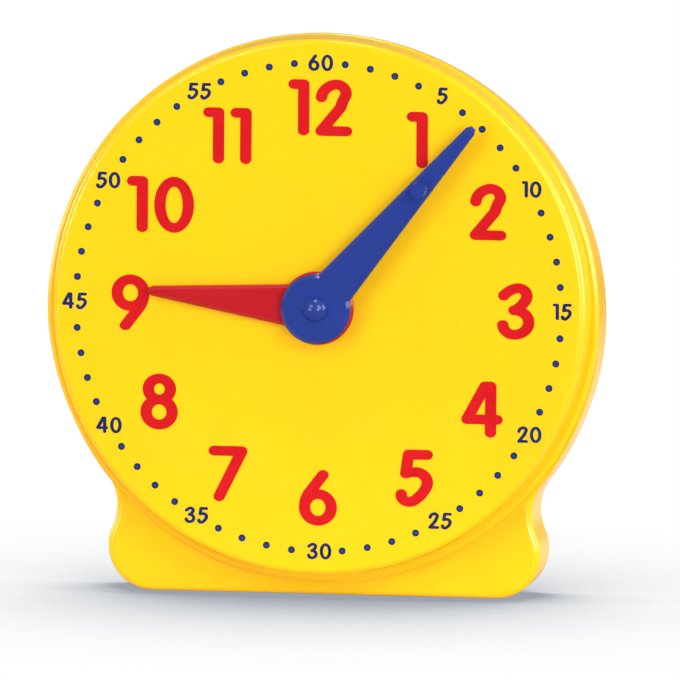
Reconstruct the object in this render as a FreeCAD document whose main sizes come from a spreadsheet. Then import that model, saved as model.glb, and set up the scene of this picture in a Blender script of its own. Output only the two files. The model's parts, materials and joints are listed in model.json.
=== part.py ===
"""Geared teaching clock: a moulded dial on a foot, two hands and a hidden 12:1 motion train.

Frame: +Z up, the dial faces -Y and +X is to its right. The origin is the centre of the face that
the foot rests on. Depths are counted behind the dial's front face, so they run along +Y.
"""
import FreeCAD, Part
import os
from math import acos, atan2, cos, hypot, pi, radians, sin, tan

import Sketcher

Vector = FreeCAD.Vector

# ---------------------------------------------------------------- driving dimensions, millimetres
SIZES = {
    # casing
    "wall": 2.2,                    # moulded wall of the front shell
    "foot_depth": 15.0,             # foot, from its front face to its back
    "tier_height": 9.5,             # the dial stands this far in front of the foot
    "axis_height": 66.3,            # dial axis above the resting face
    "case_radius": 63.0,            # outline of the casing rim
    "case_drop": 1.55,              # centre of that outline below the dial axis
    "foot_half_width": 49.5,
    "foot_corner": 10.2,            # radius of the foot's lower corners
    "neck_radius": 11.5,            # hollow between foot and rim
    "rim_front": 5.9,               # the rim starts this far behind the dial's face
    "rim_bevel": 0.8,               # front edge of the rim
    "rim_back": 7.8,                # depth of the rim's back at the top of the clock
    "rim_back_high": 14.1,          # its depth where the slope eases
    "rim_back_low": 21.4,           # its depth at the upper end of the step
    "slope_high": 31.0,             # the slope eases this far above the dial axis
    "step_top": 31.0,               # the step from rim to foot, below the dial axis
    "step_foot": 38.0,
    "low_trim": 1.45,               # the rim in front of the foot stays this far inside the outline
    "case_round": 1.5,              # front edge of the foot
    "back_round": 0.7,              # back edge of the foot
    "tier_margin": 2.4,             # dial tier inside the rim, at its front
    "tier_draft": 0.6,              # it grows by this much down to the rim
    "tier_round": 1.4,              # front edge of the dial
    # rear cover
    "cover_gap": 0.25,              # all round between cover and front shell
    "cover_wall": 3.2,              # thick, so that the clock doesn't tip forwards
    "cover_round": 3.0,
    "panel_radius": 43.0,           # sunk panel in the back
    "panel_sink": 0.7,
    # posts and screws that hold the cover
    "post_radius": 3.6,
    "post_wall": 1.2,               # round the screw heads
    "post_rim": 9.4,                # centres of the top posts inside the rim's outline
    "post_side": 0.7,               # low posts inside the centres of the foot's corners
    "post_foot": 13.4,              # low posts above the resting face
    "post_meet": 17.5,              # depth where front and rear posts meet
    "screw_seat": 2.6,              # floor under a screw head
    "cover_screw_radius": 1.4,
    "cover_screw_length": 7.4,
    "cover_head_radius": 2.7,
    "cover_head_height": 1.9,
    "head_clearance": 0.4,
    "pilot_floor": 0.4,             # pilot hole past a screw's tip
    # motion train
    "gear_module": 0.7,
    "cannon_teeth": 15,
    "minute_teeth": 45,
    "pinion_teeth": 12,
    "hour_teeth": 48,
    "addendum": 0.75,               # stub teeth, in modules
    "dedendum": 1.1,
    "tooth_play": 0.1,              # taken off each tooth at the pitch circle
    "centre_play": 0.06,            # added to the distance between the axes
    "gear_face": 3.6,
    "train_gap": 0.9,               # between the two wheels that pass each other
    "pinion_reach": 0.5,            # a pinion is this much longer than its wheel, each end
    "arbor_radius": 1.5,
    "arbor_tail": 0.8,              # arbor behind its clip
    "stud_point": 0.4,              # chamfer on the stud's end
    "running_gap": 0.08,            # radial, on every turning fit
    "end_gap": 0.1,                 # axial, beside washers
    "tube_radius": 3.0,             # hour wheel's tube, outside
    "bush_wall": 1.1,
    "bush_flange": 0.35,
    "bush_flange_radius": 5.2,
    "centre_boss": 3.8,             # boss behind the dial, round the bush
    "centre_boss_radius": 6.4,
    "stud_boss_radius": 3.6,
    "washer_thickness": 0.5,
    "washer_radius": 5.6,
    "stud_washer_radius": 2.9,
    "collar_radius": 3.1,
    # bridge that carries the train from behind
    "bridge_thickness": 2.2,
    "bridge_corner": 5.6,
    "bridge_post_x": 24.0,
    "bridge_post_z": 9.0,
    "bridge_post_low": 44.0,        # below the dial axis
    "bridge_screw_radius": 1.1,
    "bridge_screw_length": 8.5,
    "bridge_head_radius": 2.2,
    "bridge_head_height": 1.5,
    "bridge_bush_radius": 3.0,
    "bridge_bush_flange": 4.2,
    "spring_thickness": 0.4,
    "spring_radius": 4.0,
    "clip_thickness": 0.6,
    "clip_radius": 3.4,
    "clip_groove": 0.4,             # depth of the arbor's groove
    # hands
    "hour_lift": 0.65,              # back of the hour hand in front of the dial
    "hour_thickness": 1.8,
    "hour_hub": 8.3,
    "hour_length": 38.9,
    "hour_root": 5.5,               # half width of the blade, taken back to the axis
    "hour_tip": 1.1,                # half width at the tip
    "hand_gap": 0.35,               # between the two hands
    "minute_thickness": 2.0,
    "minute_hub": 7.9,
    "minute_length": 54.9,
    "minute_root": 5.05,
    "minute_tip": 1.22,
    "tip_cut": 1.1,                 # length of the corner cuts at both tips
    "hand_bevel": 0.75,
    "peg_reach": 36.4,
    "peg_radius": 1.7,
    "peg_base": 1.95,
    "peg_height": 3.0,
    "cap_radius": 2.8,
    "cap_height": 2.0,
    "cap_shank": 0.8,
    "minute_rest_angle": 40.4,      # degrees clockwise from twelve
    "hour_rest_angle": 274.7,
    # print on the dial
    "ink": 0.06,
    "ring_radius": 55.4,            # minute dots and minute numerals
    "dot_radius": 0.8,
    "hour_digit": 12.65,            # numeral heights
    "minute_digit": 3.72,
    "pen_share": 0.208,             # upright stroke, as a share of the numeral's height
    "pen_level_share": 0.86,        # level strokes are this much thinner
    "digit_gap_share": 0.113,
    "hour_ring": 44.0,
}

doc = FreeCAD.newDocument("TeachingClock")
sheet = doc.addObject("Spreadsheet::Sheet", "Sizes")
for row, (alias, amount) in enumerate(SIZES.items(), start=1):
    sheet.set(f"A{row}", alias)
    sheet.set(f"B{row}", str(amount))
    sheet.setAlias(f"B{row}", alias)
doc.recompute()


def size(alias):
    """Present value of one driving dimension."""
    return float(sheet.get(alias))


def ref(text):
    """Expression in which each driving dimension stands by its plain name."""
    words = text.replace("(", " ( ").replace(")", " ) ").split()
    return " ".join("Sizes." + word if word in SIZES else word for word in words)


# ---------------------------------------------------------------- depths behind the dial's face
FOOT_FRONT = "tier_height"
FOOT_BACK = "( tier_height + foot_depth )"
TIER_RADIUS = "( case_radius - tier_margin )"
TIER_BASE = "( case_radius - tier_margin + tier_draft )"
FACE_Y = "- ( foot_depth / 2 + tier_height )"
CASE_CENTRE = "( axis_height - case_drop )"
LOW_RIM = "( case_radius + case_drop - low_trim )"
COVER_INSET = "( wall + cover_gap )"
COVER_FRONT = f"( {FOOT_FRONT} + wall + cover_gap )"
COVER_TOP = "( rim_back + cover_gap )"      # the cover meets the rim's back where the rim has no wall
COVER_BEND = (f"( case_radius - ( {FOOT_FRONT} + wall - rim_back ) * ( case_radius - slope_high )"
              " / ( rim_back_high - rim_back ) )")
BOSS_BACK = "( wall + centre_boss )"
HOUR_WHEEL_FRONT = "( wall + centre_boss + washer_thickness + 2 * end_gap )"
HOUR_WHEEL_BACK = f"( {HOUR_WHEEL_FRONT} + gear_face )"
MINUTE_WHEEL_FRONT = f"( {HOUR_WHEEL_BACK} + train_gap )"
MINUTE_WHEEL_BACK = f"( {MINUTE_WHEEL_FRONT} + gear_face )"
CANNON_FRONT = f"( {MINUTE_WHEEL_FRONT} - pinion_reach )"
CANNON_BACK = f"( {MINUTE_WHEEL_BACK} + pinion_reach )"
SPRING_FRONT = f"( {CANNON_BACK} + end_gap / 2 )"
BRIDGE_FLANGE = f"( {SPRING_FRONT} + spring_thickness + end_gap / 2 )"
BRIDGE_FRONT = f"( {BRIDGE_FLANGE} + bush_flange )"
BRIDGE_BACK = f"( {BRIDGE_FRONT} + bridge_thickness )"
CLIP_FRONT = f"( {BRIDGE_BACK} + end_gap )"
CLIP_BACK = f"( {CLIP_FRONT} + clip_thickness )"
HOUR_BACK = "( 0 - hour_lift )"
HOUR_FRONT = "( 0 - hour_lift - hour_thickness )"
MINUTE_BACK = f"( {HOUR_FRONT} - hand_gap )"
MINUTE_FRONT = f"( {MINUTE_BACK} - minute_thickness )"
BORE = "( arbor_radius + running_gap )"
BUSH_BORE = "( tube_radius + running_gap )"
BUSH_OUTER = f"( {BUSH_BORE} + bush_wall )"
STUD_DROP = "( gear_module * ( cannon_teeth + minute_teeth ) / 2 + centre_play )"
SCREW_SEAT = "( post_meet + screw_seat )"
PILOT_START = "( post_meet + screw_seat - cover_screw_length - pilot_floor )"
BRIDGE_PILOT = f"( {BRIDGE_BACK} - bridge_screw_length - pilot_floor )"
REAR_POST = "( cover_head_radius + head_clearance + post_wall )"
HEAD_WELL = "( cover_head_radius + head_clearance )"
TOP_POST = "( ( case_radius - post_rim ) / 2 ^ 0.5 )"
LOW_POST = "( foot_half_width - foot_corner - post_side )"
POSTS = (
    (TOP_POST, f"( {TOP_POST} - case_drop )"),
    (f"( 0 - {TOP_POST} )", f"( {TOP_POST} - case_drop )"),
    (LOW_POST, "( post_foot - axis_height )"),
    (f"( 0 - {LOW_POST} )", "( post_foot - axis_height )"),
)
BRIDGE_POSTS = (
    ("bridge_post_x", "bridge_post_z"),
    ("( 0 - bridge_post_x )", "bridge_post_z"),
    ("0", "( 0 - bridge_post_low )"),
)


# ---------------------------------------------------------------- small helpers
PARTS = []


def bind(thing, **fields):
    """Tie properties of an object to the sheet; two underscores in a name stand for a dot."""
    for name, text in fields.items():
        path = name.replace("__", ".")
        thing.setExpression("." + path if "." in path else path, ref(text))
    return thing


def finish(thing, label, height="axis_height", turn=None):
    """Name a finished sub-part and put it in the clock's frame."""
    thing.Label = label
    if turn:
        thing.Placement = FreeCAD.Placement(Vector(), FreeCAD.Rotation(Vector(0, 1, 0), 1))
        bind(thing, Placement__Rotation__Angle=turn)
    bind(thing, Placement__Base__y=FACE_Y, Placement__Base__z=height)
    PARTS.append(thing)
    return thing


def along_axis(kind, name, front, back, x="0", z="0", **sizes):
    """Part primitive that stands along the depth direction between two depths."""
    thing = doc.addObject(kind, name)
    thing.Placement = FreeCAD.Placement(Vector(), FreeCAD.Rotation(Vector(1, 0, 0), -90))
    bind(thing, Height=f"( {back} ) - ( {front} )", **sizes)
    bind(thing, Placement__Base__x=x, Placement__Base__y=front, Placement__Base__z=z)
    return thing


def rod(name, radius, front, back, x="0", z="0"):
    return along_axis("Part::Cylinder", name, front, back, x, z, Radius=radius)


def cone(name, front_radius, back_radius, front, back, x="0", z="0"):
    return along_axis("Part::Cone", name, front, back, x, z, Radius1=front_radius, Radius2=back_radius)


def fuse(name, things):
    joined = doc.addObject("Part::MultiFuse", name)
    joined.Shapes = list(things)
    joined.Refine = True
    return joined


def cut(name, base, tools):
    tools = list(tools)
    removed = doc.addObject("Part::Cut", name)
    removed.Base = base
    removed.Tool = tools[0] if len(tools) == 1 else fuse(name + "_tools", tools)
    removed.Refine = True
    return removed


def ring(name, outer, inner, front, back, z="0"):
    """Washer, bush or spacer."""
    return cut(name, rod(name + "_outside", outer, front, back, z=z),
               [rod(name + "_bore", inner, f"( {front} - 1 )", f"( {back} + 1 )", z=z)])


def new_body(name):
    return doc.addObject("PartDesign::Body", name)


def new_sketch(body, name, role, depth="0"):
    """Sketch on one of the body's own planes; a sketch on XZ may lie some depth behind it."""
    sketch = body.newObject("Sketcher::SketchObject", name)
    plane = [feature for feature in body.Origin.OriginFeatures if feature.Role == role][0]
    sketch.AttachmentSupport = [(plane, "")]
    sketch.MapMode = "FlatFace"
    if depth != "0":
        bind(sketch, AttachmentOffset__Base__z=f"0 - ( {depth} )")
    return sketch


def pad(body, name, sketch, length, kind="PartDesign::Pad"):
    """Pad or pocket that runs backwards from the sketch."""
    feature = body.newObject(kind, name)
    feature.Profile = sketch
    feature.Type = "Length"
    bind(feature, Length=length)
    feature.Reversed = kind == "PartDesign::Pad"
    body.Tip = feature
    doc.recompute()
    return feature


probe = doc.addObject("App::FeaturePython", "Probe")
probe.addProperty("App::PropertyFloat", "Value")


def value(text):
    """Number that an expression has with the present sizes."""
    probe.setExpression("Value", ref(text))
    probe.recompute()
    return probe.Value


def polygon(sketch, corners):
    """Closed outline; every corner is held at its own pair of expressions."""
    points = [Vector(value(x), value(y), 0) for x, y in corners]
    for start, end in zip(points, points[1:] + points[:1]):
        sketch.addGeometry(Part.LineSegment(start, end), False)
    count = len(corners)
    for line in range(count):
        sketch.addConstraint(Sketcher.Constraint("Coincident", line, 2, (line + 1) % count, 1))
    for line, (x, y) in enumerate(corners):
        hold(sketch, "DistanceX", line, 1, x)
        hold(sketch, "DistanceY", line, 1, y)
    doc.recompute()
    return sketch


def hold(sketch, kind, item, point, text):
    """Distance of a sketch point from the origin, tied to the sheet."""
    if text == "0":
        axis = -2 if kind == "DistanceX" else -1
        sketch.addConstraint(Sketcher.Constraint("PointOnObject", item, point, axis))
        return
    index = sketch.addConstraint(Sketcher.Constraint(kind, -1, 1, item, point, value(text)))
    sketch.setExpression(f"Constraints[{index}]", ref(text))


def radius_of(sketch, item, text):
    index = sketch.addConstraint(Sketcher.Constraint("Radius", item, value(text)))
    sketch.setExpression(f"Constraints[{index}]", ref(text))


def arc(centre, radius, start, end):
    """Arc of a circle, counter-clockwise between two points."""
    first = atan2(start[1] - centre[1], start[0] - centre[0])
    last = atan2(end[1] - centre[1], end[0] - centre[0])
    circle = Part.Circle(Vector(centre[0], centre[1], 0), Vector(0, 0, 1), radius)
    return Part.ArcOfCircle(circle, first, last if last > first else last + 2 * pi)


def towards(start, end, distance):
    span = hypot(end[0] - start[0], end[1] - start[1])
    return tuple(a + (b - a) * distance / span for a, b in zip(start, end))


def case_outline(sketch, inset):
    """Outline of rim, necks and foot, drawn at an even inset from the casing's outside."""
    rim_r = value(f"case_radius - {inset}")
    corner_r = value(f"foot_corner - {inset}")
    neck_r = value(f"neck_radius + {inset}")
    floor = value(inset)
    rim_c = (0, value(CASE_CENTRE))
    corner_c = (value("foot_half_width - foot_corner"), value("foot_corner"))
    # the neck's centre lies a fixed distance from the centres of rim and corner
    far, near = rim_r + neck_r, corner_r + neck_r
    span = hypot(corner_c[0] - rim_c[0], corner_c[1] - rim_c[1])
    along = (far ** 2 - near ** 2 + span ** 2) / (2 * span)
    aside = (far ** 2 - along ** 2) ** 0.5
    ux, uz = (corner_c[0] - rim_c[0]) / span, (corner_c[1] - rim_c[1]) / span
    neck_c = (rim_c[0] + ux * along - uz * aside, rim_c[1] + uz * along + ux * aside)
    high = towards(neck_c, rim_c, neck_r)
    low = towards(neck_c, corner_c, neck_r)

    def left(point):
        return (-point[0], point[1])

    corner_foot = (corner_c[0], floor)
    items = (
        arc(rim_c, rim_r, high, left(high)),
        arc(left(neck_c), neck_r, left(low), left(high)),
        arc(left(corner_c), corner_r, left(low), left(corner_foot)),
        Part.LineSegment(Vector(-corner_c[0], floor, 0), Vector(corner_c[0], floor, 0)),
        arc(corner_c, corner_r, corner_foot, low),
        arc(neck_c, neck_r, high, low),
    )
    for item in items:
        sketch.addGeometry(item, False)
    for first, end, second, start in ((0, 2, 1, 2), (1, 1, 2, 1), (2, 2, 3, 1),
                                      (3, 2, 4, 1), (4, 2, 5, 2), (5, 1, 0, 1)):
        sketch.addConstraint(Sketcher.Constraint("Tangent", first, end, second, start))
    sketch.addConstraint(Sketcher.Constraint("Equal", 1, 5))
    sketch.addConstraint(Sketcher.Constraint("Equal", 2, 4))
    sketch.addConstraint(Sketcher.Constraint("Symmetric", 2, 3, 4, 3, -2))
    radius_of(sketch, 0, f"case_radius - {inset}")
    radius_of(sketch, 1, f"neck_radius + {inset}")
    radius_of(sketch, 2, f"foot_corner - {inset}")
    hold(sketch, "DistanceX", 0, 3, "0")
    hold(sketch, "DistanceY", 0, 3, CASE_CENTRE)
    hold(sketch, "DistanceX", 4, 3, "foot_half_width - foot_corner")
    hold(sketch, "DistanceY", 3, 1, inset)
    doc.recompute()
    return sketch


def edges_at_depth(feature, depth, least_length=0.5):
    """Names of the edges that lie wholly at one depth."""
    found = []
    for number, edge in enumerate(feature.Shape.Edges, start=1):
        box = edge.BoundBox
        if abs(box.YMin - depth) < 1e-4 and abs(box.YMax - depth) < 1e-4 and edge.Length > least_length:
            found.append(f"Edge{number}")
    return found


def round_edges(body, name, base, names, radius, kind="PartDesign::Fillet"):
    feature = body.newObject(kind, name)
    feature.Base = (base, names)
    bind(feature, **{"Radius" if kind.endswith("Fillet") else "Size": radius})
    body.Tip = feature
    doc.recompute()
    return feature


# ---------------------------------------------------------------- casing
def recess(body, name, inset, start, length):
    """Pocket with the casing's outline at an inset, from one depth backwards."""
    outline = case_outline(new_sketch(body, name + "Outline", "XZ_Plane", start), inset)
    return pad(body, name, outline, length, "PartDesign::Pocket")


def revolved(body, name, corners, axis_line, kind="PartDesign::Revolution"):
    """Polygon in the depth plane, turned about one of its edges, or about the dial's axis ("Axis0")."""
    profile = polygon(new_sketch(body, name + "Profile", "YZ_Plane"), corners)
    if axis_line == "Axis0":
        height = value("axis_height")
        item = profile.addGeometry(Part.LineSegment(Vector(0, height, 0), Vector(1, height, 0)), True)
        hold(profile, "DistanceY", item, 1, "axis_height")
        hold(profile, "DistanceY", item, 2, "axis_height")
        doc.recompute()
    feature = body.newObject(kind, name)
    feature.Profile = profile
    feature.ReferenceAxis = (profile, [axis_line])
    feature.Angle = 360
    body.Tip = feature
    doc.recompute()
    return feature


def cut_across(body, name, corners):
    """Polygon in the depth plane, cut through the casing from side to side."""
    feature = body.newObject("PartDesign::Pocket", name)
    feature.Profile = polygon(new_sketch(body, name + "Profile", "YZ_Plane"), corners)
    feature.Type = "Length"
    feature.Midplane = True
    bind(feature, Length="2 * ( case_radius + wall )")
    body.Tip = feature
    doc.recompute()
    return feature


def front_case():
    """Dial tier, rim and foot in one hollow moulding."""
    body = new_body("FrontCase")
    outside = case_outline(new_sketch(body, "CaseOutline", "XZ_Plane", FOOT_FRONT), "0")
    block = pad(body, "CaseBlock", outside, "foot_depth")
    front = edges_at_depth(block, value(FOOT_FRONT))
    round_edges(body, "FrontRound", block, front, "case_round")

    # the rim stands in front of the foot's face and hides its own rounded edge
    revolved(body, "Rim", (
        ("rim_front", CASE_CENTRE),
        ("rim_front", f"{CASE_CENTRE} + case_radius - rim_bevel"),
        ("rim_front + rim_bevel", f"{CASE_CENTRE} + case_radius"),
        (f"{FOOT_FRONT} + case_round", f"{CASE_CENTRE} + case_radius"),
        (f"{FOOT_FRONT} + case_round", CASE_CENTRE),
    ), "Edge5")
    # below, the rim is a circle about the dial's axis, inside the outline of the casing behind it
    revolved(body, "RimTrim", (
        ("rim_front", f"axis_height + {LOW_RIM} - rim_bevel"),
        ("rim_front + rim_bevel", f"axis_height + {LOW_RIM}"),
        (FOOT_FRONT, f"axis_height + {LOW_RIM}"),
        (FOOT_FRONT, "axis_height + case_radius + 2 * case_drop"),
        ("rim_front", "axis_height + case_radius + 2 * case_drop"),
    ), "Axis0", "PartDesign::Groove")
    # only the foot keeps the full depth: the rim's back slopes forwards to the top
    step = cut_across(body, "RimCut", (
        ("rim_back", "axis_height + case_radius"),
        ("rim_back_high", "axis_height + slope_high"),
        ("rim_back_low", "axis_height - step_top"),
        (FOOT_BACK, "axis_height - step_foot"),
        (f"{FOOT_BACK} + wall", "axis_height - step_foot"),
        (f"{FOOT_BACK} + wall", "axis_height + case_radius"),
    ))
    round_edges(body, "BackRound", step, edges_at_depth(step, value(FOOT_BACK)), "back_round")

    # dial tier, slightly conical, with a rounded front edge
    tier = revolved(body, "Tier", (
        ("0", "axis_height"),
        ("0", f"axis_height + {TIER_RADIUS}"),
        ("rim_front", f"axis_height + {TIER_BASE}"),
        ("rim_front + rim_bevel", f"axis_height + {TIER_BASE}"),
        ("rim_front + rim_bevel", "axis_height"),
    ), "Edge5")
    round_edges(body, "TierRound", tier, edges_at_depth(tier, 0), "tier_round")

    recess(body, "CaseHollow", "wall", f"{FOOT_FRONT} + wall", "foot_depth")
    revolved(body, "TierHollow", (
        ("wall", "axis_height"),
        ("wall", f"axis_height + {TIER_RADIUS} - wall"),
        (f"{FOOT_FRONT} + wall", f"axis_height + {TIER_BASE} - wall - case_drop"),
        (f"{FOOT_FRONT} + wall", "axis_height"),
    ), "Edge4", "PartDesign::Groove")
    return body


def case_frame(thing):
    """Casing bodies are drawn from the floor, so they need lifting down by the axis height."""
    bind(thing, Placement__Base__z="0 - axis_height")
    return thing


def front_shell():
    case = case_frame(front_case())
    posts = [rod(f"FrontPost{n}", "post_radius", start, "post_meet", x, z)
             for n, (x, z, start) in enumerate(cover_posts())]
    posts += [rod(f"BridgePost{n}", "post_radius", "wall / 2", BRIDGE_FRONT, x, z)
              for n, (x, z) in enumerate(BRIDGE_POSTS)]
    bosses = [
        rod("CentreBoss", "centre_boss_radius", "wall / 2", BOSS_BACK),
        rod("StudBoss", "stud_boss_radius", "wall / 2", BOSS_BACK, z=f"0 - {STUD_DROP}"),
    ]
    pilots = [rod(f"FrontPilot{n}", "cover_screw_radius", PILOT_START, "post_meet + wall", x, z)
              for n, (x, z) in enumerate(POSTS)]
    pilots += [rod(f"BridgePilot{n}", "bridge_screw_radius", BRIDGE_PILOT, f"{BRIDGE_FRONT} + wall", x, z)
               for n, (x, z) in enumerate(BRIDGE_POSTS)]
    holes = [
        rod("BushHole", BUSH_OUTER, "0 - wall", f"{BOSS_BACK} + wall"),
        rod("StudHole", "arbor_radius", "wall", f"{BOSS_BACK} + wall", z=f"0 - {STUD_DROP}"),
    ]
    moulded = fuse("FrontMoulding", [case] + posts + bosses)
    return finish(cut("FrontShell", moulded, pilots + holes), "front_shell")


def cover_posts():
    """Places of the cover's posts, and where each front post starts."""
    starts = ("wall / 2", "wall / 2", f"( {FOOT_FRONT} + wall / 2 )", f"( {FOOT_FRONT} + wall / 2 )")
    return [(x, z, start) for (x, z), start in zip(POSTS, starts)]


def rear_cover():
    """Pan that closes the back: a drum behind the rim and a plate between the foot's walls."""
    body = new_body("CoverPan")
    outside = case_outline(new_sketch(body, "CoverOutline", "XZ_Plane", COVER_TOP), COVER_INSET)
    block = pad(body, "CoverBlock", outside, f"{FOOT_BACK} - {COVER_TOP}")
    back = edges_at_depth(block, value(FOOT_BACK))
    round_edges(body, "CoverRound", block, back, "cover_round")
    recess_depth = f"{FOOT_BACK} - {COVER_TOP} - cover_wall"
    recess(body, "CoverHollow", f"( {COVER_INSET} + cover_wall )", COVER_TOP, recess_depth)
    # the open edge follows the slope of the rim's back, and lies inside the rim below it
    cut_across(body, "CoverEdge", (
        ("0", "axis_height + case_radius"),
        (COVER_TOP, "axis_height + case_radius"),
        (COVER_FRONT, f"axis_height + {COVER_BEND}"),
        (COVER_FRONT, "0"),
        ("0", "0"),
    ))
    case_frame(body)

    posts = [rod(f"RearPost{n}", REAR_POST, "post_meet", f"{FOOT_BACK} - cover_wall / 2", x, z)
             for n, (x, z) in enumerate(POSTS)]
    tools = [rod("SunkPanel", "panel_radius", f"{FOOT_BACK} - panel_sink", f"{FOOT_BACK} + wall")]
    tools += [rod(f"HeadWell{n}", HEAD_WELL, SCREW_SEAT, f"{FOOT_BACK} + wall", x, z)
              for n, (x, z) in enumerate(POSTS)]
    tools += [rod(f"ScrewHole{n}", "( cover_screw_radius + end_gap )", "post_meet - wall",
                  f"{SCREW_SEAT} + end_gap", x, z) for n, (x, z) in enumerate(POSTS)]
    return finish(cut("RearCover", fuse("CoverMoulding", [body] + posts), tools), "rear_cover")


def screw(name, shank, length, head, height, seat, x, z):
    """Pan-head screw with a cross recess; its head sits behind the seat."""
    wing = f"( {head} * 0.62 )"
    tools = []
    for turn in (0, 90):
        slot = doc.addObject("Part::Box", f"{name}_slot{turn}")
        slot.Placement.Rotation = FreeCAD.Rotation(Vector(0, 1, 0), turn)
        bind(slot, Length=f"2 * {wing}", Width=height, Height=f"{head} / 4")
        across, aside = (f"{x} - {wing}", f"{x} - {head} / 8")
        up, level = (f"{z} + {wing}", f"{z} - {head} / 8")
        bind(slot, Placement__Base__x=aside if turn else across,
             Placement__Base__z=up if turn else level,
             Placement__Base__y=f"{seat} + {height} / 2")
        tools.append(slot)
    body = fuse(name + "_blank", [
        rod(name + "_shank", shank, f"( {seat} - {length} )", seat, x, z),
        cone(name + "_head", head, f"( {head} * 0.8 )", seat, f"( {seat} + {height} )", x, z),
    ])
    return cut(name, body, tools)


def group(name, things, label):
    """Several alike solids that share one node."""
    together = doc.addObject("Part::Compound", name)
    together.Links = list(things)
    return finish(together, label)


def cover_screws():
    return group("CoverScrews", [
        screw(f"CoverScrew{n}", "cover_screw_radius", "cover_screw_length", "cover_head_radius",
              "cover_head_height", SCREW_SEAT, x, z) for n, (x, z) in enumerate(POSTS)], "cover_screws")


# ---------------------------------------------------------------- motion train
def gear_outline(teeth, tooth_at):
    """Involute outline in the dial's plane; one tooth points at the angle given, in degrees."""
    module, pressure = size("gear_module"), radians(20)
    pitch = module * teeth / 2
    base, tip = pitch * cos(pressure), pitch + size("addendum") * module
    root = pitch - size("dedendum") * module
    start = max(base, root)
    half_tooth = (pi * module / 2 - size("tooth_play")) / (2 * pitch)

    def half_angle(radius):
        bent = acos(base / radius)
        return half_tooth + (tan(pressure) - pressure) - (tan(bent) - bent)

    def point(radius, angle):
        return Vector(radius * sin(angle), 0, radius * cos(angle))

    radii = [start + (tip - start) * step / 3 for step in range(4)]
    pieces = []
    for tooth in range(teeth):
        middle = radians(tooth_at) + 2 * pi * tooth / teeth
        following = middle + 2 * pi / teeth
        rising = [point(radius, middle - half_angle(radius)) for radius in radii]
        falling = [point(radius, middle + half_angle(radius)) for radius in reversed(radii)]
        foot, toe = middle + half_angle(start), following - half_angle(start)
        for flank in (rising, falling):
            curve = Part.BSplineCurve()
            curve.interpolate(flank)
            pieces.append(curve.toShape())
        pieces.append(Part.Arc(rising[-1], point(tip, middle), falling[0]).toShape())
        low, next_low = point(root, foot), point(root, toe)
        if start > root:
            pieces.append(Part.makeLine(falling[-1], low))
            pieces.append(Part.makeLine(next_low, point(start, toe)))
        pieces.append(Part.Arc(low, point(root, (foot + toe) / 2), next_low).toShape())
    return Part.Wire(Part.__sortEdges__(pieces))


def toothed(name, teeth, front, back, tooth_at=0.0, drop="0"):
    """Ring of teeth between two depths, as an extruded outline."""
    outline = doc.addObject("Part::Feature", name + "_outline")
    outline.Shape = gear_outline(int(size(teeth)), tooth_at)
    bind(outline, Placement__Base__y=front, Placement__Base__z=f"0 - {drop}")
    wheel = doc.addObject("Part::Extrusion", name)
    wheel.Base = outline
    wheel.DirMode = "Custom"
    wheel.Dir = Vector(0, 1, 0)
    wheel.Solid = True
    bind(wheel, LengthFwd=f"{back} - {front}")
    return wheel


def minute_arbor():
    start = f"( {MINUTE_FRONT} + cap_shank )"
    shaft = rod("ArborShaft", "arbor_radius", start, f"( {CLIP_BACK} + arbor_tail )")
    groove = ring("ArborGroove", "( arbor_radius + clip_groove )", "( arbor_radius - clip_groove )",
                  CLIP_FRONT, CLIP_BACK)
    return finish(cut("MinuteArbor", shaft, [groove]), "minute_arbor")


def cannon_pinion():
    teeth = toothed("CannonTeeth", "cannon_teeth", CANNON_FRONT, CANNON_BACK, 180)
    bore = rod("CannonBore", "arbor_radius", f"{CANNON_FRONT} - 1", f"{CANNON_BACK} + 1")
    return finish(cut("CannonPinion", teeth, [bore]), "cannon_pinion")


def intermediate_gear():
    """Large wheel driven by the cannon pinion, with the small pinion that drives the hour wheel."""
    gap_up = 180 / size("minute_teeth")
    collar_end = f"( {BRIDGE_FRONT} - end_gap )"
    low = f"0 - {STUD_DROP}"
    blank = fuse("IntermediateBlank", [
        toothed("MinuteTeeth", "minute_teeth", MINUTE_WHEEL_FRONT, MINUTE_WHEEL_BACK, gap_up, STUD_DROP),
        toothed("PinionTeeth", "pinion_teeth", HOUR_WHEEL_FRONT, MINUTE_WHEEL_FRONT, 0, STUD_DROP),
        rod("IntermediateCollar", "collar_radius", MINUTE_WHEEL_BACK, collar_end, z=low),
    ])
    bore = rod("IntermediateBore", BORE, f"{HOUR_WHEEL_FRONT} - 1", f"{BRIDGE_FRONT} + 1", z=low)
    return finish(cut("IntermediateGear", blank, [bore]), "intermediate_gear")


def intermediate_stud():
    low = f"0 - {STUD_DROP}"
    end = f"( {BRIDGE_BACK} - stud_point )"
    return finish(fuse("IntermediateStud", [
        rod("StudShaft", "arbor_radius", "wall", end, z=low),
        cone("StudPoint", "arbor_radius", "( arbor_radius - stud_point )", end, BRIDGE_BACK, z=low),
    ]), "intermediate_stud")


def hour_wheel():
    """Slow wheel with the tube that carries the hour hand."""
    gap_down = 180 + 180 / size("hour_teeth")
    blank = fuse("HourBlank", [
        toothed("HourTeeth", "hour_teeth", HOUR_WHEEL_FRONT, HOUR_WHEEL_BACK, gap_down),
        rod("HourTube", "tube_radius", HOUR_FRONT, HOUR_WHEEL_FRONT),
    ])
    bore = rod("HourBore", BORE, f"{HOUR_FRONT} - 1", f"{HOUR_WHEEL_BACK} + 1")
    return finish(cut("HourWheel", blank, [bore]), "hour_wheel")


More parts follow.
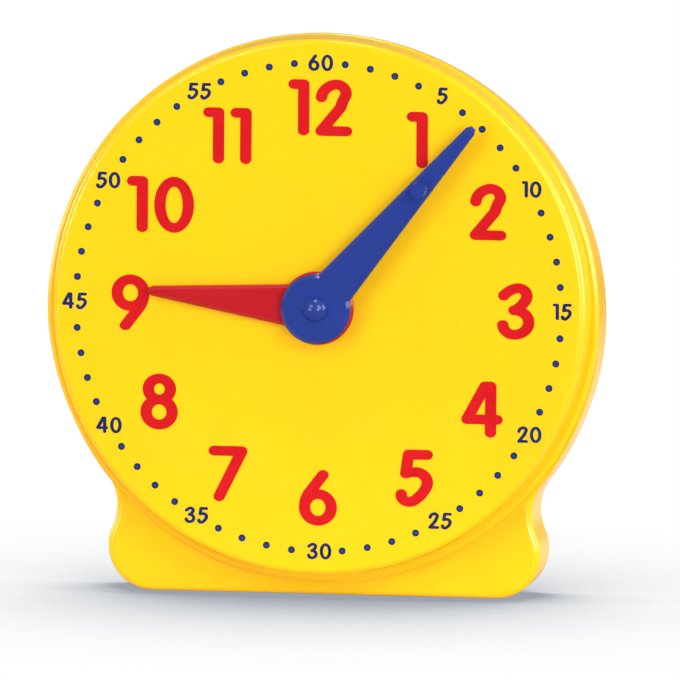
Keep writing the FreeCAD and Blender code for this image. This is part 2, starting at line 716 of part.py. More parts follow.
def flanged_bush(name, body_radius, flange_radius, bore, flange, front, back, label):
    """Bush with a flange at its front end."""
    blank = fuse(name + "Blank", [
        rod(name + "Body", body_radius, front, back),
        rod(name + "Flange", flange_radius, flange, front),
    ])
    hole = rod(name + "Bore", bore, f"{flange} - 1", f"{back} + 1")
    return finish(cut(name, blank, [hole]), label)


def bushes():
    flanged_bush("DialBush", BUSH_OUTER, "bush_flange_radius", BUSH_BORE, "( 0 - bush_flange )", "0",
                 BOSS_BACK, "dial_bush")
    flanged_bush("BridgeBush", "bridge_bush_radius", "bridge_bush_flange", BORE, BRIDGE_FLANGE,
                 BRIDGE_FRONT, BRIDGE_BACK, "bridge_bush")


def washers():
    start, end = f"( {BOSS_BACK} + end_gap )", f"( {BOSS_BACK} + end_gap + washer_thickness )"
    finish(ring("ThrustWasher", "washer_radius", BUSH_BORE, start, end), "thrust_washer")
    finish(ring("StudWasher", "stud_washer_radius", BORE, start, end, z=f"0 - {STUD_DROP}"), "stud_washer")
    finish(ring("FrictionSpring", "spring_radius", BORE, SPRING_FRONT,
                f"( {SPRING_FRONT} + spring_thickness )"), "friction_spring")


def arbor_clip():
    """Open spring clip in the arbor's groove."""
    full = ring("ClipRing", "clip_radius", "( arbor_radius - clip_groove )", CLIP_FRONT, CLIP_BACK)
    mouth = doc.addObject("Part::Box", "ClipMouth")
    bind(mouth, Length="2 * ( arbor_radius - clip_groove )", Width=f"{CLIP_BACK} - {CLIP_FRONT}",
         Height="clip_radius", Placement__Base__x="clip_groove - arbor_radius",
         Placement__Base__y=CLIP_FRONT)
    return finish(cut("ArborClip", full, [mouth]), "arbor_clip")


def gear_bridge():
    """Plate on three posts that carries the arbor and the stud from behind."""
    triangle = doc.addObject("Sketcher::SketchObject", "BridgeTriangle")
    triangle.Placement = FreeCAD.Placement(Vector(), FreeCAD.Rotation(Vector(1, 0, 0), 90))
    polygon(triangle, BRIDGE_POSTS)
    bind(triangle, Placement__Base__y=BRIDGE_FRONT)
    outline = doc.addObject("Part::Offset2D", "BridgeOutline")
    outline.Source = triangle
    outline.Join = "Arc"
    bind(outline, Value="bridge_corner")
    plate = doc.addObject("Part::Extrusion", "BridgePlate")
    plate.Base = outline
    plate.DirMode = "Custom"
    plate.Dir = Vector(0, 1, 0)
    plate.Solid = True
    bind(plate, LengthFwd="bridge_thickness")
    before, behind = f"{BRIDGE_FRONT} - 1", f"{BRIDGE_BACK} + 1"
    holes = [rod(f"BridgeHole{n}", "( bridge_screw_radius + end_gap )", before, behind, x, z)
             for n, (x, z) in enumerate(BRIDGE_POSTS)]
    holes.append(rod("BridgeBushHole", "bridge_bush_radius", before, behind))
    holes.append(rod("BridgeStudHole", "arbor_radius", before, behind, z=f"0 - {STUD_DROP}"))
    return finish(cut("GearBridge", plate, holes), "gear_bridge")


def bridge_screws():
    return group("BridgeScrews", [
        screw(f"BridgeScrew{n}", "bridge_screw_radius", "bridge_screw_length", "bridge_head_radius",
              "bridge_head_height", BRIDGE_BACK, x, z) for n, (x, z) in enumerate(BRIDGE_POSTS)],
        "bridge_screws")


# ---------------------------------------------------------------- hands
def hand(name, hub, outline, back, front, thickness, bore, label, turn, extra=()):
    """Flat moulded hand: round hub and tapered blade with bevelled front edges."""
    body = new_body(name + "Body")
    disc = new_sketch(body, name + "Hub", "XZ_Plane", front)
    disc.addGeometry(Part.Circle(Vector(), Vector(0, 0, 1), value(hub)), False)
    disc.addConstraint(Sketcher.Constraint("Coincident", 0, 3, -1, 1))
    radius_of(disc, 0, hub)
    pad(body, name + "HubPad", disc, thickness)
    shape = polygon(new_sketch(body, name + "Blade", "XZ_Plane", front), outline)
    joined = pad(body, name + "BladePad", shape, thickness)
    joined.Refine = True
    doc.recompute()
    names = edges_at_depth(joined, value(front))
    round_edges(body, name + "Bevel", joined, names, "hand_bevel", "PartDesign::Chamfer")
    things = [body] + list(extra)
    solid = fuse(name + "Whole", things) if extra else body
    hole = rod(name + "Bore", bore, f"{front} - 1", f"{back} + 1")
    return finish(cut(name, solid, [hole]), label, turn=turn)


def blade(hand_name):
    """Outline of a hand's blade: it tapers from the axis to a tip with both corners cut."""
    root, tip, length = (f"{hand_name}_{part}" for part in ("root", "tip", "length"))
    nose, shoulder = f"( {tip} / 2 )", f"( {length} - tip_cut )"
    right = ((root, "0"), (tip, shoulder), (nose, length))
    return right + tuple((f"( 0 - {x} )", z) for x, z in reversed(right))


def hands():
    hand("HourHand", "hour_hub", blade("hour"), HOUR_BACK, HOUR_FRONT, "hour_thickness",
         "tube_radius", "hour_hand", "hour_rest_angle")
    peg = cone("FingerPeg", "peg_radius", "peg_base", f"( {MINUTE_FRONT} - peg_height )",
               f"( {MINUTE_FRONT} + hand_bevel )", z="peg_reach")
    hand("MinuteHand", "minute_hub", blade("minute"), MINUTE_BACK, MINUTE_FRONT, "minute_thickness",
         "arbor_radius", "minute_hand", "minute_rest_angle", [peg])


def centre_cap():
    """Domed cap pushed into the hub in front of the arbor."""
    dome = doc.addObject("Part::Sphere", "CapBall")
    ball = "( ( cap_radius * cap_radius + cap_height * cap_height ) / ( 2 * cap_height ) )"
    bind(dome, Radius=ball, Placement__Base__y=f"{MINUTE_FRONT} - cap_height + {ball}")
    front = doc.addObject("Part::MultiCommon", "CapDome")
    front.Shapes = [dome, rod("CapSide", "cap_radius", f"( {MINUTE_FRONT} - cap_height - 1 )", MINUTE_FRONT)]
    shank = rod("CapShank", "arbor_radius", MINUTE_FRONT, f"( {MINUTE_FRONT} + cap_shank )")
    return finish(fuse("CentreCap", [front, shank]), "centre_cap")


# ---------------------------------------------------------------- print on the dial
# Strokes of each numeral in shares of its height: straight runs, bows and rings.
# A bow starts at a point with a heading in degrees and bends evenly from point to point.
NUMERALS = {
    "0": (0.72, [("ring", 0.36, 0.5, 0.257, 0.413)]),
    "1": (0.38, [("run", (0.101, 0.913), (0.278, 0.913)), ("run", (0.278, 0.913), (0.278, 0.087))]),
    "2": (0.66, [("bow", 85, (0.105, 0.687), (0.313, 0.913), (0.528, 0.70), (0.449, 0.508)),
                 ("run", (0.449, 0.508), (0.101, 0.087)), ("run", (0.101, 0.087), (0.558, 0.087))]),
    "3": (0.67, [("bow", 55, (0.115, 0.782), (0.315, 0.913), (0.515, 0.72), (0.32, 0.523)),
                 ("bow", 0, (0.30, 0.523), (0.32, 0.523), (0.565, 0.30), (0.32, 0.087), (0.1, 0.256))]),
    "4": (0.744, [("run", (0.423, 0.913), (0.101, 0.32)), ("run", (0.101, 0.32), (0.643, 0.32)),
                  ("run", (0.527, 0.913), (0.527, 0.087)), ("run", (0.423, 0.913), (0.527, 0.913))]),
    "5": (0.66, [("run", (0.562, 0.913), (0.226, 0.913)), ("run", (0.226, 0.913), (0.177, 0.572)),
                 ("bow", 22, (0.177, 0.572), (0.36, 0.6), (0.556, 0.35), (0.326, 0.087), (0.1, 0.2))]),
    "6": (0.685, [("ring", 0.341, 0.327, 0.24, 0.24),
                  ("bow", 90, (0.101, 0.327), (0.175, 0.58)), ("run", (0.175, 0.58), (0.43, 0.913))]),
    "7": (0.70, [("run", (0.101, 0.913), (0.6, 0.913)), ("run", (0.6, 0.913), (0.195, 0.095))]),
    "8": (0.68, [("ring", 0.345, 0.725, 0.2, 0.188), ("ring", 0.343, 0.312, 0.235, 0.225)]),
    "9": (0.685, [("ring", 0.344, 0.673, 0.24, 0.24),
                  ("bow", -90, (0.584, 0.673), (0.51, 0.42)), ("run", (0.51, 0.42), (0.255, 0.087))]),
}
# places of the hour numerals on the artwork, in shares of the hour ring's radius
HOUR_PLACES = {
    "12": (0.004, 1.028), "1": (0.507, 0.873), "2": (0.877, 0.510), "3": (1.024, 0.002),
    "4": (0.852, -0.505), "5": (0.503, -0.865), "6": (0.005, -0.981), "7": (-0.464, -0.869),
    "8": (-0.824, -0.504), "9": (-0.976, 0.004), "10": (-0.822, 0.512), "11": (-0.477, 0.874),
}
# the minute numerals on the artwork, in shares of the dots' ring
MINUTE_PLACES = {
    "5": (0.504, 0.876), "10": (0.874, 0.502), "15": (1.003, 0.005), "20": (0.872, -0.5),
    "25": (0.507, -0.861), "30": (0.01, -0.998), "35": (-0.498, -0.862), "40": (-0.861, -0.501),
    "45": (-1.006, 0.005), "50": (-0.869, 0.502), "55": (-0.496, 0.874), "60": (0.004, 1.0),
}


def capsule(start, end, pen):
    """Straight stroke with round ends."""
    (ax, az), (bx, bz) = start, end
    span = hypot(bx - ax, bz - az)
    nx, nz = -(bz - az) / span * pen, (bx - ax) / span * pen
    tx, tz = (bx - ax) / span * pen, (bz - az) / span * pen
    a1, a2 = Vector(ax + nx, az + nz, 0), Vector(ax - nx, az - nz, 0)
    b1, b2 = Vector(bx + nx, bz + nz, 0), Vector(bx - nx, bz - nz, 0)
    edges = [Part.makeLine(a1, b1), Part.Arc(b1, Vector(bx + tx, bz + tz, 0), b2).toShape(),
             Part.makeLine(b2, a2), Part.Arc(a2, Vector(ax - tx, az - tz, 0), a1).toShape()]
    return Part.Face(Part.Wire(edges))


def bent(start, heading, end, pen):
    """Evenly bent stroke with round ends; also returns the heading at its end, in radians."""
    (ax, az), (bx, bz) = start, end
    chord = atan2(bz - az, bx - ax)
    turn = 2 * ((chord - heading + pi) % (2 * pi) - pi)
    if abs(turn) < 1e-3:
        return capsule(start, end, pen), heading
    radius = hypot(bx - ax, bz - az) / (2 * sin(turn / 2))
    cx, cz = ax - radius * sin(heading), az + radius * cos(heading)

    def at(share, offset):
        angle = heading + turn * share - pi / 2
        return Vector(cx + (radius + offset) * cos(angle), cz + (radius + offset) * sin(angle), 0)

    def end_cap(share, outwards):
        angle = heading + turn * share
        tip = at(share, 0) + Vector(cos(angle), sin(angle), 0) * (pen * outwards)
        return Part.Arc(at(share, pen), tip, at(share, -pen)).toShape()

    edges = [Part.Arc(at(0, pen), at(0.5, pen), at(1, pen)).toShape(), end_cap(1, 1),
             Part.Arc(at(1, -pen), at(0.5, -pen), at(0, -pen)).toShape(), end_cap(0, -1)]
    return Part.Face(Part.Wire(Part.__sortEdges__(edges))), heading + turn


def ellipse(cx, cz, rx, rz):
    if rx >= rz:
        curve = Part.Ellipse(Vector(cx, cz, 0), rx, rz)
        return Part.Face(Part.Wire(curve.toShape()))
    upright = Part.Ellipse(Vector(cx, cz + rz, 0), Vector(cx + rx, cz, 0), Vector(cx, cz, 0))
    return Part.Face(Part.Wire(upright.toShape()))


def numeral(digit, height):
    """Layer of ink in the form of one numeral, its left edge at x 0 and its foot at y 0."""
    pen, squash = size("pen_share") / 2, size("pen_level_share")
    faces = []
    for kind, *data in NUMERALS[digit][1]:
        if kind == "ring":
            cx, cz, rx, rz = data
            outer = ellipse(cx, cz / squash, rx + pen, rz / squash + pen)
            faces.append(outer.cut(ellipse(cx, cz / squash, rx - pen, rz / squash - pen)))
        elif kind == "run":
            start, end = [(x, z / squash) for x, z in data]
            faces.append(capsule(start, end, pen))
        else:
            heading = radians(data[0])
            points = [(x, z / squash) for x, z in data[1:]]
            for start, end in zip(points, points[1:]):
                face, heading = bent(start, heading, end, pen)
                faces.append(face)
    strokes = [face.extrude(Vector(0, 0, size("ink"))) for face in faces]
    whole = strokes[0].fuse(strokes[1:]).removeSplitter() if len(strokes) > 1 else strokes[0]
    matrix = FreeCAD.Matrix()
    matrix.scale(Vector(height, height * squash, 1))
    return whole.transformGeometry(matrix)


def number(text, x, z, height, glyphs):
    """Ink of one number, centred on a place of the dial."""
    gap = size("digit_gap_share")
    widths = [NUMERALS[digit][0] for digit in text]
    left = x - height * (sum(widths) + gap * (len(text) - 1)) / 2
    solids = []
    for digit, width in zip(text, widths):
        ink = glyphs[digit].copy()
        ink.translate(Vector(left, z - height / 2, 0))
        ink.rotate(Vector(), Vector(1, 0, 0), 90)
        solids += ink.Solids
        left += height * (width + gap)
    return solids


def ink_node(name, solids, label):
    node = doc.addObject("Part::Feature", name)
    node.Shape = Part.Compound(solids)
    return finish(node, label)


def dial_print():
    """Hour numerals, minute numerals and minute dots, each a thin layer of ink on the dial."""
    hour_height, minute_height = size("hour_digit"), size("minute_digit")
    hour_glyphs = {digit: numeral(digit, hour_height) for digit in NUMERALS}
    minute_glyphs = {digit: numeral(digit, minute_height) for digit in NUMERALS}
    hour_ring, minute_ring = size("hour_ring"), size("ring_radius")

    hours, minutes, dots = [], [], []
    for text, (x, z) in HOUR_PLACES.items():
        hours += number(text, x * hour_ring, z * hour_ring, hour_height, hour_glyphs)
    for text, (x, z) in MINUTE_PLACES.items():
        minutes += number(text, x * minute_ring, z * minute_ring, minute_height, minute_glyphs)
    for minute in range(60):
        if minute % 5:
            angle = radians(6 * minute)
            place = Vector(minute_ring * sin(angle), 0, minute_ring * cos(angle))
            dots.append(Part.makeCylinder(size("dot_radius"), size("ink"), place, Vector(0, -1, 0)))
    ink_node("HourNumerals", hours, "hour_numerals")
    ink_node("MinuteNumerals", minutes, "minute_numerals")
    ink_node("MinuteDots", dots, "minute_dots")


# ---------------------------------------------------------------- build and write
for build in (front_shell, rear_cover, cover_screws, gear_bridge, bridge_screws, bushes, washers,
              minute_arbor, arbor_clip, cannon_pinion, intermediate_gear, intermediate_stud, hour_wheel,
              hands, centre_cap, dial_print):
    build()
doc.recompute()

for thing in doc.Objects:
    if "Invalid" in thing.State or "Error" in thing.State:
        raise RuntimeError(f"{thing.Name} could not be built: {thing.State}")
for part in PARTS:
    if part.Shape.isNull() or not part.Shape.isValid():
        raise RuntimeError(f"{part.Label} has no valid shape")

os.makedirs("parts", exist_ok=True)
for part in PARTS:
    part.Shape.exportStep(f"parts/{part.Label}.step")
    print(part.Label, len(part.Shape.Solids), round(part.Shape.Volume, 2))
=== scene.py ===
"""Looks of the geared teaching clock: moulded polystyrene, pad-printed dial, and the train behind it.

Everything is in metres, in the clock's own frame: +Z up, the dial faces -Y, and the origin is the
centre of the face that the foot rests on.
"""

import json
from math import cos, radians, sin

import bpy
from mathutils import Matrix, Vector

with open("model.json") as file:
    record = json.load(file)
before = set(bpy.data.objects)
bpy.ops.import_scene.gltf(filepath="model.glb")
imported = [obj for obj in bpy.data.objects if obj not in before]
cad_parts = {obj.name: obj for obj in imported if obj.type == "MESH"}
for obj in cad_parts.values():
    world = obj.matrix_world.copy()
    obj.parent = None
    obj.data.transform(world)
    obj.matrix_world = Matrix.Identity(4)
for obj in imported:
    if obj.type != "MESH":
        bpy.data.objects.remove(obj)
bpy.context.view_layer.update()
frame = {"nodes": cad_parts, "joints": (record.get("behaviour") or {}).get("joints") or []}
nodes = frame["nodes"]
bpy.ops.object.select_all(action="DESELECT")

MM = 0.001
HINGES = {joint["name"]: Vector(joint["pos_m"]) for joint in frame["joints"]}
DIAL = HINGES["minute_turn"]            # middle of the dial's front face
STUD = HINGES["intermediate_turn"]      # on the axis of the intermediate wheel
DOT_RING = 55.4 * MM                    # radius of the ring of minute dots
DOT_RADIUS = 0.8 * MM
DOT_STEP = radians(6)                   # from one place on the ring to the next


# ---------------------------------------------------------------- colours and nodes
def srgb(code):
    """Linear colour of a hex code."""
    parts = [int(code[i:i + 2], 16) / 255 for i in (1, 3, 5)]
    return tuple(p / 12.92 if p <= 0.04045 else ((p + 0.055) / 1.055) ** 2.4 for p in parts) + (1.0,)


WHITE = srgb("#FFFFFF")


def feed(tree, node, inputs):
    """Give each input its value, or link it to the output that feeds it."""
    for name, source in inputs.items():
        if isinstance(source, bpy.types.NodeSocket):
            tree.links.new(source, node.inputs[name])
        else:
            node.inputs[name].default_value = source


def add(tree, kind, inputs=None, stops=(), **settings):
    """One node with its settings and links; the stops are places and colours on a colour ramp."""
    node = tree.nodes.new(kind)
    for name, setting in settings.items():
        setattr(node, name, setting)
    if stops:
        band = node.color_ramp.elements
        band.remove(band[0])
        band[0].position, band[0].color = stops[0]
        for position, colour in stops[1:]:
            band.new(position).color = colour
    feed(tree, node, inputs or {})
    return node


def material(name):
    """Empty material: its node tree, its shader, and the place that its patterns are read from."""
    made = bpy.data.materials.new(name)
    made.use_nodes = True
    tree = made.node_tree
    tree.nodes.clear()
    shader = add(tree, "ShaderNodeBsdfPrincipled")
    add(tree, "ShaderNodeOutputMaterial", {"Surface": shader.outputs[0]})
    place = add(tree, "ShaderNodeTexCoord").outputs["Object"]
    return made, tree, shader, place


def about_axis(tree, place, axis):
    """Steps across and up from an axis that runs along Y, the step along it, and the distance from it."""
    moved = add(tree, "ShaderNodeMapping", {"Vector": place, "Location": (-axis.x, 0, -axis.z)})
    split = add(tree, "ShaderNodeSeparateXYZ", {"Vector": moved.outputs[0]})
    across, along, up = split.outputs
    flat = add(tree, "ShaderNodeCombineXYZ", {"X": across, "Y": up})
    reach = add(tree, "ShaderNodeVectorMath", {0: flat.outputs[0]}, operation="LENGTH")
    return across, up, along, reach.outputs["Value"]


# ---------------------------------------------------------------- moulded plastics
def moulded_polystyrene(name, colour, deeper, roughness, grain_mm, grain_height_mm, soak=0.0):
    """Polished injection moulding: bright and even, with slow flow marks and a faint skin texture."""
    made, tree, shader, place = material(name)
    # flow of the melt: slow swirls about 18 mm apart shift the colour by a hair
    flow = add(tree, "ShaderNodeTexNoise", {"Vector": place, "Scale": 1 / (18 * MM), "Detail": 3.0,
                                            "Roughness": 0.45, "Distortion": 0.8})
    tint = add(tree, "ShaderNodeValToRGB", {"Fac": flow.outputs["Fac"]},
               stops=[(0.3, srgb(deeper)), (0.7, srgb(colour))])
    # handling: the gloss is a little duller in patches of about 9 mm
    rub = add(tree, "ShaderNodeTexNoise", {"Vector": place, "Scale": 1 / (9 * MM), "Detail": 5.0,
                                           "Roughness": 0.6})
    dull = add(tree, "ShaderNodeMapRange", {"Value": rub.outputs["Fac"], "From Min": 0.3, "From Max": 0.75,
                                            "To Min": roughness * 0.9, "To Max": roughness * 1.15})
    # cooling: the wall sinks in shallow waves 30 mm long, so that highlights bend a little
    sink = add(tree, "ShaderNodeTexNoise", {"Vector": place, "Scale": 1 / (30 * MM), "Detail": 1.0})
    wave = add(tree, "ShaderNodeBump", {"Height": sink.outputs["Fac"], "Strength": 0.25,
                                        "Distance": 0.12 * MM})
    # skin of the mould: real grain is finer, drawn this coarse so that it shows
    skin = add(tree, "ShaderNodeTexNoise", {"Vector": place, "Scale": 1 / (grain_mm * MM), "Detail": 2.0})
    bump = add(tree, "ShaderNodeBump", {"Height": skin.outputs["Fac"], "Normal": wave.outputs[0],
                                        "Strength": 0.5, "Distance": grain_height_mm * MM})
    # light soaks a millimetre or so into the plastic, red the deepest
    feed(tree, shader, {"Base Color": tint.outputs["Color"], "Roughness": dull.outputs["Result"],
                        "Normal": bump.outputs[0], "IOR": 1.59, "Specular IOR Level": 0.4,
                        "Subsurface Weight": soak, "Subsurface Radius": (1.0, 0.55, 0.08),
                        "Subsurface Scale": 1.2 * MM})
    return made


YELLOW = moulded_polystyrene("yellow_polystyrene", "#FFC800", "#FFC500", roughness=0.24,
                             grain_mm=0.35, grain_height_mm=0.004, soak=0.03)
YELLOW_SATIN = moulded_polystyrene("yellow_polystyrene_satin", "#FFC602", "#FCC200", roughness=0.38,
                                   grain_mm=0.5, grain_height_mm=0.02, soak=0.1)
BLUE = moulded_polystyrene("blue_polystyrene", "#243A8C", "#213684", roughness=0.2,
                           grain_mm=0.4, grain_height_mm=0.004)
RED = moulded_polystyrene("red_polystyrene", "#BA1622", "#B2131F", roughness=0.2,
                          grain_mm=0.4, grain_height_mm=0.004, soak=0.06)


def natural_acetal(name, colour):
    """Unfilled acetal or nylon as it comes from the mould: milky, waxy, faintly uneven."""
    made, tree, shader, place = material(name)
    # clouds of about 6 mm, as the pellets melt unevenly
    cloud = add(tree, "ShaderNodeTexNoise", {"Vector": place, "Scale": 1 / (6 * MM), "Detail": 3.0})
    tint = add(tree, "ShaderNodeValToRGB", {"Fac": cloud.outputs["Fac"]},
               stops=[(0.3, srgb("#D9D6CA")), (0.7, srgb(colour))])
    # a fine pebbled skin of 0.4 mm
    skin = add(tree, "ShaderNodeTexNoise", {"Vector": place, "Scale": 1 / (0.4 * MM), "Detail": 2.0})
    bump = add(tree, "ShaderNodeBump", {"Height": skin.outputs["Fac"], "Strength": 0.4,
                                        "Distance": 0.01 * MM})
    feed(tree, shader, {"Base Color": tint.outputs["Color"], "Normal": bump.outputs[0],
                        "Roughness": 0.42, "IOR": 1.48, "Subsurface Weight": 0.15,
                        "Subsurface Radius": (1.0, 0.9, 0.8), "Subsurface Scale": 1 * MM})
    return made


ACETAL = natural_acetal("natural_acetal", "#E8E5DA")
NYLON = natural_acetal("natural_nylon", "#EFEADB")


# ---------------------------------------------------------------- printing inks
def pad_print(name, colour, deeper):
    """Pad-printing ink: an even film with a slight orange-peel gloss."""
    made, tree, shader, place = material(name)
    # the film is a little thinner in patches of about 4 mm
    patches = add(tree, "ShaderNodeTexNoise", {"Vector": place, "Scale": 1 / (4 * MM), "Detail": 4.0})
    tint = add(tree, "ShaderNodeValToRGB", {"Fac": patches.outputs["Fac"]},
               stops=[(0.35, srgb(deeper)), (0.65, srgb(colour))])
    # orange peel with bumps 0.5 mm apart
    peel = add(tree, "ShaderNodeTexNoise", {"Vector": place, "Scale": 1 / (0.5 * MM), "Detail": 2.0})
    bump = add(tree, "ShaderNodeBump", {"Height": peel.outputs["Fac"], "Strength": 0.4,
                                        "Distance": 0.01 * MM})
    feed(tree, shader, {"Base Color": tint.outputs["Color"], "Normal": bump.outputs[0],
                        "Roughness": 0.32, "IOR": 1.5, "Specular IOR Level": 0.08})
    return made, tree, shader, place


def navy_dot_ink():
    """The pad squeezes ink to a dot's rim, so a dot is bluer in its middle and dark round the edge."""
    made, tree, shader, place = pad_print("navy_dot_ink", "#1E3A80", "#1A3374")
    across, up, _, reach = about_axis(tree, place, DIAL)
    # how far round the ring, and how far out from it, the nearest dot's middle lies
    turn = add(tree, "ShaderNodeMath", {0: across, 1: up}, operation="ARCTAN2")
    near = add(tree, "ShaderNodeMath", {0: turn.outputs[0], 1: DOT_STEP / 2}, operation="PINGPONG")
    along = add(tree, "ShaderNodeMath", {0: near.outputs[0], 1: DOT_RING}, operation="MULTIPLY")
    out = add(tree, "ShaderNodeMath", {0: reach, 1: DOT_RING}, operation="SUBTRACT")
    off = add(tree, "ShaderNodeCombineXYZ", {"X": along.outputs[0], "Y": out.outputs[0]})
    far = add(tree, "ShaderNodeVectorMath", {0: off.outputs[0]}, operation="LENGTH")
    share = add(tree, "ShaderNodeMath", {0: far.outputs["Value"], 1: DOT_RADIUS}, operation="DIVIDE")
    tint = add(tree, "ShaderNodeValToRGB", {"Fac": share.outputs[0]},
               stops=[(0.0, srgb("#234690")), (0.5, srgb("#1B3676")), (0.8, srgb("#142350"))])
    feed(tree, shader, {"Base Color": tint.outputs["Color"]})
    return made


RED_INK = pad_print("red_pad_print_ink", "#CB181F", "#C4151C")[0]
NAVY_INK = pad_print("navy_pad_print_ink", "#192B60", "#152452")[0]
DOT_INK = navy_dot_ink()


# ---------------------------------------------------------------- metals
def turned_metal(name, colour, worn, roughness, lines_mm, axis):
    """Turned or ground metal: fine rings round an axis, with a few duller patches."""
    made, tree, shader, place = material(name)
    _, _, along, reach = about_axis(tree, place, axis)
    # tool marks: the same all the way round, and uneven outwards and along the axis
    ring = add(tree, "ShaderNodeCombineXYZ", {"X": reach, "Y": along})
    lines = add(tree, "ShaderNodeTexNoise", {"Vector": ring.outputs[0], "Scale": 1 / (lines_mm * MM),
                                             "Detail": 4.0, "Roughness": 0.6})
    spread = add(tree, "ShaderNodeMapRange", {"Value": lines.outputs["Fac"], "To Min": roughness * 0.7,
                                              "To Max": roughness * 1.3})
    bump = add(tree, "ShaderNodeBump", {"Height": lines.outputs["Fac"], "Strength": 0.5,
                                        "Distance": 0.01 * MM})
    # handling: patches of about 3 mm where the metal has dulled
    patch = add(tree, "ShaderNodeTexNoise", {"Vector": place, "Scale": 1 / (3 * MM), "Detail": 3.0})
    tint = add(tree, "ShaderNodeValToRGB", {"Fac": patch.outputs["Fac"]},
               stops=[(0.35, srgb(worn)), (0.65, srgb(colour))])
    feed(tree, shader, {"Base Color": tint.outputs["Color"], "Roughness": spread.outputs["Result"],
                        "Normal": bump.outputs[0], "Metallic": 1.0})
    return made


BRASS = turned_metal("turned_brass", "#D9B466", "#C9A254", roughness=0.3, lines_mm=0.12, axis=DIAL)
STEEL = turned_metal("ground_steel", "#C3C4C4", "#B0B1B1", roughness=0.26, lines_mm=0.1, axis=DIAL)
STUD_STEEL = turned_metal("ground_stud_steel", "#C3C4C4", "#B0B1B1", roughness=0.26, lines_mm=0.1,
                          axis=STUD)
SPRING_STEEL = turned_metal("blued_spring_steel", "#6E7278", "#5A5E66", roughness=0.32, lines_mm=0.15,
                            axis=DIAL)
# every screw lies well away from this axis, so its lines are nearly straight, like scratches from tumbling
ZINC = turned_metal("zinc_plated_steel", "#CDCFCC", "#B9BCB9", roughness=0.34, lines_mm=0.2,
                    axis=Vector((0, 0, 0)))

FINISHES = {
    "front_shell": YELLOW, "rear_cover": YELLOW_SATIN, "cover_screws": ZINC, "gear_bridge": ACETAL,
    "bridge_screws": ZINC, "dial_bush": BRASS, "bridge_bush": BRASS, "thrust_washer": NYLON,
    "stud_washer": NYLON, "friction_spring": SPRING_STEEL, "minute_arbor": STEEL,
    "arbor_clip": SPRING_STEEL, "cannon_pinion": ACETAL, "intermediate_gear": ACETAL,
    "intermediate_stud": STUD_STEEL, "hour_wheel": ACETAL, "hour_hand": RED, "minute_hand": BLUE,
    "centre_cap": BLUE, "hour_numerals": RED_INK, "minute_numerals": NAVY_INK, "minute_dots": DOT_INK,
}
for name, finish in FINISHES.items():
    for slot in nodes[name].material_slots:
        slot.material = finish


# ---------------------------------------------------------------- floor, light and camera
def kinds_of_ray(tree):
    """Whether a ray goes to the eye, straight or through clear plastic, and whether it goes to gloss."""
    path = add(tree, "ShaderNodeLightPath")
    seen = add(tree, "ShaderNodeMath", {0: path.outputs["Is Camera Ray"],
                                        1: path.outputs["Is Transmission Ray"]}, operation="MAXIMUM")
    return seen.outputs[0], path.outputs["Is Glossy Ray"]


def floor():
    """Wide pale floor: plain white, with a painted soft cool shade where the clock keeps the sky off it,
    and a painted glow in gloss.
    """
    bpy.ops.mesh.primitive_plane_add(size=6.0)
    ground = bpy.context.object
    ground.name = "floor"
    made, tree, shader, place = material("white_paper_floor")
    seen, glossy = kinds_of_ray(tree)
    # what light falls on: a matt sheet, dim enough to throw little yellow back at the foot
    feed(tree, shader, {"Base Color": srgb("#D6D6D6"), "Roughness": 0.75, "Specular IOR Level": 0.2})
    # what gloss shows: a painted glow in place of the lit sheet near the clock, brightest behind it, and a
    # dim room beyond
    away = add(tree, "ShaderNodeVectorMath", {0: place}, operation="LENGTH")
    near = add(tree, "ShaderNodeMapRange", {"Value": away.outputs["Value"], "From Min": 250 * MM,
                                            "From Max": 700 * MM, "To Min": 1.0, "To Max": 0.2})
    split = add(tree, "ShaderNodeSeparateXYZ", {"Vector": place})
    behind = add(tree, "ShaderNodeMapRange", {"Value": split.outputs["Y"], "From Min": -30 * MM,
                                              "From Max": 60 * MM, "To Min": 0.15, "To Max": 0.8})
    both = add(tree, "ShaderNodeMath", {0: near.outputs["Result"], 1: behind.outputs["Result"]},
               operation="MULTIPLY")
    # painted glow: the floor shines in reflections instead of being lit
    painted_floor_glow = add(tree, "ShaderNodeEmission", {"Strength": both.outputs[0]})
    in_gloss = add(tree, "ShaderNodeMixShader", {0: glossy, 1: shader.outputs[0], 2: painted_floor_glow.outputs[0]})
    # what the eye sees: the floor glows, with painted shade set by the share of open sky above each spot
    sky = add(tree, "ShaderNodeAmbientOcclusion", {"Distance": 150 * MM}, samples=12)
    shade = add(tree, "ShaderNodeValToRGB", {"Fac": sky.outputs["AO"]},
                stops=[(0.5, srgb("#9CA1AA")), (0.62, srgb("#BFC3C9")), (0.78, srgb("#E6E8EA")),
                       (0.93, WHITE)])
    # painted shade: the floor glows in the ramp's colour instead of being lit
    painted_shade_glow = add(tree, "ShaderNodeEmission", {"Color": shade.outputs["Color"]})
    mixed = add(tree, "ShaderNodeMixShader", {0: seen, 1: in_gloss.outputs[0], 2: painted_shade_glow.outputs[0]})
    feed(tree, tree.nodes["Material Output"], {"Surface": mixed.outputs[0]})
    ground.data.materials.append(made)


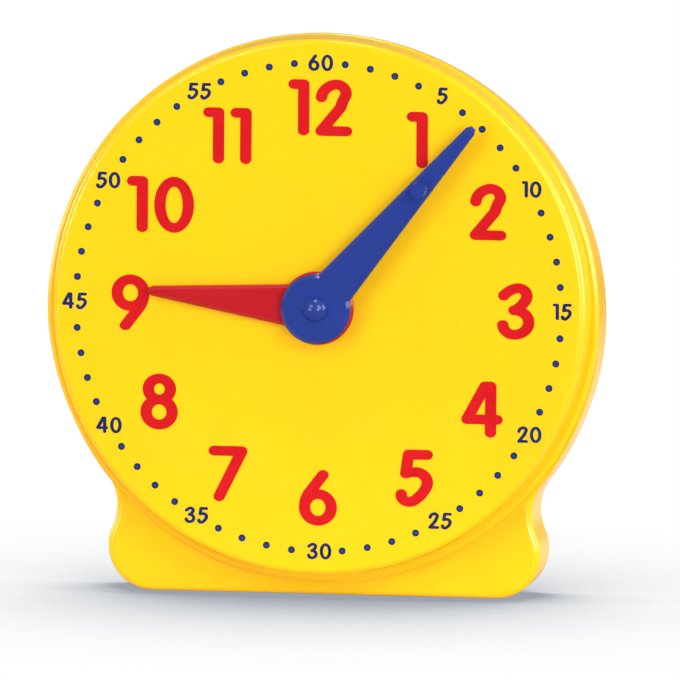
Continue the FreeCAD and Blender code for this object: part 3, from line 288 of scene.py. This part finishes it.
def surroundings():
    """White room for the eye, a dim one for gloss, and a soft fill from all sides for the rest."""
    world = bpy.data.worlds.new("white_room")
    bpy.context.scene.world = world
    world.use_nodes = True
    tree = world.node_tree
    tree.nodes.clear()
    seen, glossy = kinds_of_ray(tree)
    # what gloss shows: a dim room, a little brighter behind the clock and overhead
    aim = add(tree, "ShaderNodeTexCoord").outputs["Generated"]
    split = add(tree, "ShaderNodeSeparateXYZ", {"Vector": aim})
    lean = add(tree, "ShaderNodeMath", {0: split.outputs["Z"], 1: 0.6}, operation="MULTIPLY")
    depth = add(tree, "ShaderNodeMath", {0: split.outputs["Y"], 1: lean.outputs[0]}, operation="ADD")
    room = add(tree, "ShaderNodeMapRange", {"Value": depth.outputs[0], "From Min": -0.35, "From Max": 0.3,
                                            "To Min": 0.05, "To Max": 0.35},
               interpolation_type="SMOOTHSTEP")
    # the fill is even, and gloss takes the room instead of it
    level = add(tree, "ShaderNodeMapRange", {"Value": glossy, "To Min": 0.35,
                                             "To Max": room.outputs["Result"]})
    shown = add(tree, "ShaderNodeMath", {0: level.outputs["Result"], 1: seen}, operation="MAXIMUM")
    light = add(tree, "ShaderNodeBackground", {"Color": WHITE, "Strength": shown.outputs[0]})
    add(tree, "ShaderNodeOutputWorld", {"Surface": light.outputs[0]})


def softbox(name, place, width, height, watts, target=DIAL, spread=180):
    """Rectangular soft light that faces a point, with its spread in degrees."""
    light = bpy.data.lights.new(name, "AREA")
    light.shape = "RECTANGLE"
    light.size, light.size_y = width, height
    light.energy = watts
    light.spread = radians(spread)
    lamp = bpy.data.objects.new(name, light)
    bpy.context.scene.collection.objects.link(lamp)
    lamp.location = place
    lamp.rotation_euler = (Vector(target) - Vector(place)).to_track_quat("-Z", "Y").to_euler()


def lights():
    """Broad lamps on both sides light the dial, and small ones draw the bright edges."""
    # from both sides and above: the hands throw a soft shade on the dial
    softbox("key_right", (0.69, -0.93, 0.68), 0.5, 0.4, 4.0)
    softbox("key_left", (-0.66, -0.96, 0.68), 0.5, 0.4, 3.7)
    # from both sides and low: the shade stays warm and the foot's front isn't dark
    softbox("low_right", (0.66, -1.2, 0.08), 0.6, 0.3, 6.2)
    softbox("low_left", (-0.95, -0.95, 0.08), 0.6, 0.3, 5.4)
    # a narrow beam on the foot's lower front edge alone
    softbox("foot_fill", (0.3, -0.6, 0.03), 0.1, 0.03, 0.0075, target=(0.0, -0.0075, -0.02), spread=14)
    # small bright spots on the dome and along the bevels of the hands
    softbox("streak", (1.0, -0.85, 0.40), 0.15, 0.3, 2.0)
    softbox("overhead", (0.0, -0.16, 0.9), 0.15, 0.12, 1.2)
    # the casing's side walls, left and right
    softbox("left_edge", (-1.0, 0.27, 0.25), 0.12, 0.4, 3.5)
    softbox("right_wall", (1.1, 0.0, 0.35), 0.5, 0.6, 6.0)


def camera():
    """Long lens, a little to the right of the dial and a little above it."""
    turn, lift, roll = radians(9.0), radians(6.2), radians(0.365)
    distance = 5.0
    sensor_mm = 36
    picture = 680                               # width and height of the picture, in pixels
    dial_across, dial_down = 318.3, 307.5       # where the dial's middle falls in it
    scale = 4.4377 / MM                         # pixels to the metre
    towards = Vector((-sin(turn) * cos(lift), cos(turn) * cos(lift), -sin(lift)))
    right = Vector((cos(turn), sin(turn), 0))
    up = right.cross(towards)
    right, up = right * cos(roll) + up * sin(roll), up * cos(roll) - right * sin(roll)
    aim = DIAL + right * ((picture / 2 - dial_across) / scale) - up * ((picture / 2 - dial_down) / scale)
    view = bpy.data.cameras.new("camera")
    view.sensor_width = sensor_mm
    view.lens = sensor_mm * scale / picture * distance
    view.clip_end = 4 * distance
    eye = bpy.data.objects.new("camera", view)
    bpy.context.scene.collection.objects.link(eye)
    back = -towards
    eye.matrix_world = Matrix.Translation(aim + back * distance) @ Matrix((
        (right.x, up.x, back.x, 0), (right.y, up.y, back.y, 0), (right.z, up.z, back.z, 0), (0, 0, 0, 1)))
    bpy.context.scene.camera = eye


floor()
surroundings()
lights()
camera()
bpy.context.scene.view_settings.view_transform = "Standard"
